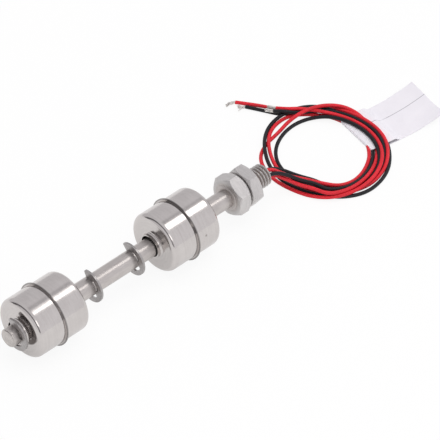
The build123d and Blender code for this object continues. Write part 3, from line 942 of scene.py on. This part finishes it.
@dataclass
class PaperLabel:
    """A paper strip folded round some of the wires, its leaves stuck together beyond them."""

    fold: tuple[float, float]
    turn: float = LABEL_TURN
    width: float = 23.0
    paper: float = 0.11
    loop: float = 15.0
    loop_height: float = 1.85
    fold_bend: float = 0.9
    ramp: float = 3.0
    flag: float = 22.5
    flag_rise: float = 3.6
    curl: float = 0.5
    tilt: float = 0.35
    wave: float = 0.12
    columns: int = 36

    WEAR_PLACES = (0, 1.5, 3.2, 4.6, 6.0)
    WEAR = (0.6, -0.9, 0.5, -0.7, 0.0)

    def beyond(self, out: Array) -> Array:
        """How far along the flag each place is, from 0 at the loop's end to 1 at the tip."""
        return np.clip((out - self.loop) / self.flag, 0, 1)

    def middle_line(self) -> Array:
        """The strip's middle from one end of the flag round the fold to the other, as (out, up)."""
        half = self.paper / 2
        out = np.linspace(self.loop + self.flag, self.loop, 22)
        lower = np.stack([out, self.flag_rise * self.beyond(out) ** 2 + half], 1)
        floor = np.stack([np.linspace(self.loop, self.fold_bend, 10)[1:], np.full(9, half)], 1)
        radius = (self.loop_height - self.paper) / 2
        turn = np.linspace(-pi / 2, -3 * pi / 2, 12)
        bend = np.stack([self.fold_bend + radius * np.cos(turn), self.loop_height / 2 + radius * np.sin(turn)], 1)
        top = self.loop_height - half
        over = np.stack([np.linspace(self.fold_bend, self.loop - self.ramp, 9)[1:], np.full(8, top)], 1)
        t = np.linspace(0, 1, 8)[1:]
        ease = 3 * t**2 - 2 * t**3
        down = np.stack([self.loop - self.ramp * (1 - t), top + (3 * half - top) * ease], 1)
        upper = lower[::-1][1:] + np.array([0.0, self.paper])
        return np.vstack([lower, floor, bend[1:-1], over, down, upper])

    def build(self, material: Material) -> Piece:
        """Build the strip with its thickness, soft waves and worn edges."""
        line = self.middle_line()
        ahead = np.gradient(line, axis=0)
        ahead /= np.linalg.norm(ahead, axis=1)[:, None]
        normal = np.stack([-ahead[:, 1], ahead[:, 0]], 1) * self.paper / 2
        section = np.vstack([line + normal, (line - normal)[::-1]])
        out, up = section.T
        worn = np.interp(out, self.WEAR_PLACES, self.WEAR) * (up > 0.6 * self.loop_height)
        columns, faces, count = [], [], len(section)
        for s in np.linspace(-1, 1, self.columns):
            lift = self.curl * s**2 + self.tilt * s + self.wave * sin(5 * s)
            across = s * self.width / 2 + np.where(s < -0.9, worn * (-s - 0.9) * 10, 0.0)
            x, y = turned(out, across, -self.turn)
            columns.append(np.stack([self.fold[0] + x, self.fold[1] + y, up + lift * self.beyond(out)], 1))
        for base in range(0, (self.columns - 1) * count, count):
            faces += band_faces(base, base + count, count)
        for base, flip in ((0, 1), ((self.columns - 1) * count, -1)):
            for i in range(count // 2 - 1):
                quad = (base + i, base + count - 1 - i, base + count - 2 - i, base + i + 1)
                faces.append(quad[::flip])
        piece = new_mesh("folded_paper_label", np.vstack(columns), faces, 50.0)
        piece.data.materials.append(material)
        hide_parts("wire_label")
        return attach(piece, "switch")


@dataclass
class Studio:
    """Pale floor, soft lamps, white surroundings and the photograph's camera.

    The dim end and the dark rim of the sky each lie in bands along parts of its direction from the object.
    """

    camera_place: Point = (-0.69212, -0.77121, 1.00709)
    heading: float = 43.683
    elevation: float = 43.259
    roll: float = 0.31
    focal_pixels: float = 3613.93
    picture: int = 440
    sensor: float = 36.0
    lit_place: Point = (0.02, 0.0, 0.02)
    floor_size: float = 3.0
    floor_drop: float = 0.05
    floor_white: float = 0.9
    floor_glow: float = 0.9
    mirrored_glow: float = 0.5
    sky_strength: float = 0.93
    sky_tint: Colour = (0.975, 0.96, 0.985)
    dim_strength: float = 0.06
    dim_end: tuple[float, ...] = (-0.74, -0.66, -0.48, -0.4)
    dim_end_share: float = 0.9
    rim_across: tuple[float, ...] = (-0.05, 0.03, 0.14, 0.26)
    rim_up: tuple[float, float] = (0.62, 0.74)
    rim_along: tuple[float, float] = (0.2, 0.35)
    rim_share: float = 0.28
    back_share: float = 0.12

    def build_world(self) -> None:
        """White to the eye, and to all else a soft sky with the studio's dim end and a lamp's dark rim."""
        world = bpy.data.worlds.new("studio")
        bpy.context.scene.world = world
        shader = Shader(world)
        along, across, up = shader.split("Generated")
        rim = across.band(*self.rim_across) * up.between(*self.rim_up) * along.between(*self.rim_along)
        lit = 1.0 - (across + 1.0) * self.back_share
        lit = lit * (1.0 - self.dim_end_share * along.band(*self.dim_end)) * (1.0 - self.rim_share * rim)
        sky, dim = (shader.light("Background", self.sky_tint, s) for s in (self.sky_strength, self.dim_strength))
        seen = shader.ray("Camera").larger(shader.ray("Transmission"))
        mixed = shader.mix(seen, shader.mix(1.0 - lit, sky, dim), shader.light("Background", WHITE))
        shader.node("ShaderNodeOutputWorld", given={0: mixed})

    def build_floor(self) -> None:
        """A pale floor that shows white with the object's faint shadow."""
        half = self.floor_size / 2 / MM
        corners = np.array([(x * half, y * half, -self.floor_drop) for x, y in ((-1, -1), (1, -1), (1, 1), (-1, 1))])
        floor = new_mesh("floor", corners, [(0, 1, 2, 3)])
        material = bpy.data.materials.new("pale_floor")
        shader = Shader(material)
        paint = shader.node("ShaderNodeBsdfDiffuse", given={0: rgba((self.floor_white,) * 3)}).outputs[0]
        seen = shader.ray("Camera").larger(shader.ray("Transmission")) * self.floor_glow
        shown = seen.larger(shader.ray("Glossy") * self.mirrored_glow)
        shader.node("ShaderNodeOutputMaterial", given={0: shader.mix(shown, paint, shader.light("Emission", WHITE))})
        floor.data.materials.append(material)

    def build_lamp(self, name: str, towards: Point, size: float, radiance: float, colour: Colour,
                   distance: float = 0.9, in_gloss: bool = True) -> None:
        """Hang one square soft lamp, turned towards the object.

        Args:
            name: the lamp's name.
            towards: direction from the object to the lamp.
            size: side of the lamp in metres.
            radiance: how bright its face looks, with 1 as white.
            colour: the light's tint.
            distance: metres from the object.
            in_gloss: whether metal mirrors it.
        """
        lamp = bpy.data.lights.new(name, "AREA")
        lamp.shape = "SQUARE"
        lamp.size = size
        lamp.color = colour
        lamp.energy = radiance * pi * size * size
        holder = placed(name, lamp)
        away = Vector(towards).normalized()
        holder.location = Vector(self.lit_place) + away * distance
        holder.rotation_euler = (-away).to_track_quat("-Z", "Y").to_euler()
        holder.visible_glossy = in_gloss

    def build_camera(self) -> None:
        """Stand the camera where the photograph was taken from."""
        lens = bpy.data.cameras.new("photo_camera")
        lens.sensor_width = self.sensor
        lens.sensor_fit = "HORIZONTAL"
        lens.lens = self.focal_pixels / self.picture * self.sensor
        lens.clip_start, lens.clip_end = 0.05, 20.0
        camera = placed("photo_camera", lens)
        turn, tilt, roll = (radians(angle) for angle in (self.heading, self.elevation, self.roll))
        right = Vector((cos(turn), -sin(turn), 0.0))
        up = Vector((sin(tilt) * sin(turn), sin(tilt) * cos(turn), cos(tilt)))
        back = right.cross(up)
        right, up = right * cos(roll) + up * sin(roll), up * cos(roll) - right * sin(roll)
        pose = Matrix((right, up, back)).transposed().to_4x4()
        camera.matrix_world = Matrix.Translation(self.camera_place) @ pose
        bpy.context.scene.camera = camera

    def build(self) -> None:
        """Set the whole studio up."""
        bpy.context.scene.view_settings.view_transform = "Standard"
        self.build_world()
        self.build_floor()
        self.build_camera()
        self.build_lamp("key_lamp", (0.503, -0.215, 0.837), 0.27, 2.1, (1.0, 0.98, 0.95))
        self.build_lamp("front_lamp", (-0.3, -0.75, 0.6), 0.35, 1.2, (1.0, 0.98, 0.95))
        self.build_lamp("fill_lamp", (0.0, -0.1, 1.0), 1.0, 1.7, (1.0, 0.985, 0.965), 1.2, in_gloss=False)


@dataclass
class FloatSwitch:
    """The whole switch: its finishes and the pieces that they dress. Sizes are millimetres."""

    stem_axis: float
    float_axis: float
    thread_end: float
    weld_place: float = -21.3
    thread_start: float = -14.0
    head_height: float = 7.0
    materials: dict[Slot, Material] = field(default_factory=dict)

    def build_finishes(self) -> None:
        """Make the material of every slot."""
        label_fold = ((self.thread_end + LABEL_FOLD[0]) * MM, LABEL_FOLD[1] * MM)
        stem, body = self.stem_axis * MM, self.float_axis * MM
        finishes = {
            Slot.STEM: Steel("drawn_stem_steel", (0.62, 0.585, 0.565), (0.5, 0.47, 0.455), 0.34, Grain.DRAWN, stem,
                             line_depth=6e-7),
            Slot.PLUG: Steel("hammered_plug_steel", (0.66, 0.62, 0.59), (0.42, 0.395, 0.38), 0.26, Grain.STAMPED, stem,
                             line_depth=2.4e-5, speckle=0.4),
            Slot.CLIP: Steel("stamped_clip_steel", (0.5, 0.48, 0.475), (0.32, 0.305, 0.3), 0.32, Grain.STAMPED,
                             stem, speckle=0.4),
            Slot.HEAD: Steel("turned_head_steel", (0.72, 0.7, 0.69), (0.56, 0.545, 0.54), 0.5, Grain.TURNED, stem,
                             line_depth=1.6e-6, speckle=0.25,
                             heat=((self.thread_end + self.weld_place) * MM, 1.1 * MM, 5.9 * MM),
                             # Thread roots: painted shade with a grease brown below the crest radius.
                             roots=((self.thread_end + self.thread_start) * MM, 4.2 * MM, 4.8 * MM)),
            Slot.FLOAT: Steel("drawn_float_steel", (0.64, 0.61, 0.595), (0.56, 0.53, 0.518), 0.15, Grain.TURNED,
                              # Seam: painted shade on the flange beyond 13.3 mm from the axis.
                              body, line_depth=2.5e-7, seam=13.3 * MM,
                              spot=(24.75 * MM, -12.75 * MM, 16.53 * MM)),
            Slot.REED: Steel("reed_lead_metal", (0.6, 0.57, 0.52), (0.42, 0.4, 0.37), 0.35, Grain.STAMPED, stem),
            Slot.TINNED: Steel("tinned_strands", (0.92, 0.9, 0.87), (0.7, 0.68, 0.65), 0.5, Grain.STAMPED, 0.0,
                               line_depth=4e-6),
            Slot.RED: Insulation("red_insulation", (0.74, 0.02, 0.036), (0.6, 0.013, 0.024)),
            Slot.BLACK: Insulation("black_insulation", (0.010, 0.010, 0.014), (0.005, 0.005, 0.007)),
            Slot.LABEL: Paper("label_paper", (0.84, 0.825, 0.87), (0.79, 0.775, 0.825), (0.2, 0.2, 0.24), label_fold),
            Slot.MAGNET: Compound("magnet_ferrite", (0.06, 0.06, 0.065), (0.03, 0.03, 0.032), 0.6, 3000.0, 2e-5),
            Slot.SLEEVE: Compound("woven_sleeving", (0.06, 0.06, 0.07), (0.03, 0.03, 0.035), 0.55, 5000.0, 2e-5),
            Slot.POTTING: Compound("potting_resin", (0.05, 0.048, 0.045), (0.02, 0.02, 0.02), 0.35, 1200.0, 3e-5),
            Slot.GLASS: Compound("reed_glass", (0.72, 0.86, 0.8), (0.6, 0.78, 0.72), 0.08, 600.0, 4e-6, 0.9),
        }
        self.materials = {slot: finish.make() for slot, finish in finishes.items()}

    def dress_frame(self) -> None:
        """Give every CAD node the finish of its slot."""
        kinds = {
            "stem_end": Slot.PLUG, "stem": Slot.STEM, "retaining_clip": Slot.CLIP, "threaded_head": Slot.HEAD,
            "lock_nut": Slot.HEAD, "potting": Slot.POTTING, "tinned": Slot.TINNED, "wire_label": Slot.LABEL,
            "wire_coil": Slot.RED,
        }
        parts = {
            "cup": Slot.FLOAT, "bore_tube": Slot.FLOAT, "magnet": Slot.MAGNET, "capsule": Slot.GLASS,
            "leads": Slot.REED, "sleeve": Slot.SLEEVE, "sleeves": Slot.SLEEVE,
        }
        for name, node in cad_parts.items():
            slot = next((s for start, s in kinds.items() if name.startswith(start)), None)
            slot = slot or next((s for end, s in parts.items() if name.endswith(end)), None)
            slot = slot or (Slot.RED if "_red_" in name else Slot.BLACK)
            node.data.materials.clear()
            node.data.materials.append(self.materials[slot])
            log.info("%s wears %s", name, slot.value)

    def build_head(self) -> None:
        """Replace the head and its nut by the threaded ones."""
        head_low, head_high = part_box("threaded_head")
        nut_low, nut_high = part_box("lock_nut")
        start = head_low.x / MM + ThreadedHead.weld_height
        maker = ThreadedHead(self.stem_axis, start, start + self.head_height, head_high.x / MM)
        for piece, node, body in (
            (maker.build_head(), "threaded_head", "switch"),
            (maker.build_nut(nut_low.x / MM, nut_high.x / MM), "lock_nut", "lock_nut"),
        ):
            piece.data.materials.append(self.materials[Slot.HEAD])
            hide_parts(node)
            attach(piece, body)
            log.info("%s stands for %s", piece.name, node)

    def build(self) -> None:
        """Dress the frame and build the pieces that replace its plain ones."""
        self.build_finishes()
        self.dress_frame()
        self.build_head()
        fold = (self.thread_end + LABEL_FOLD[0], LABEL_FOLD[1])
        label = PaperLabel(fold).build(self.materials[Slot.LABEL])
        log.info("%s is folded round the wires", label.name)
        LeadWires(CoilLayer(self.thread_end), self.materials).build(label)


def main() -> None:
    """Build the studio and the switch."""
    logging.basicConfig(level=logging.INFO, format="%(message)s")
    Studio().build()
    stem_low, stem_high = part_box("stem_tube")
    float_low, float_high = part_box("lower_float_lower_cup")
    thread_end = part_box("threaded_head")[1].x / MM
    FloatSwitch((stem_low.z + stem_high.z) / 2 / MM, (float_low.z + float_high.z) / 2 / MM, thread_end).build()


if __name__ == "__main__":
    main()
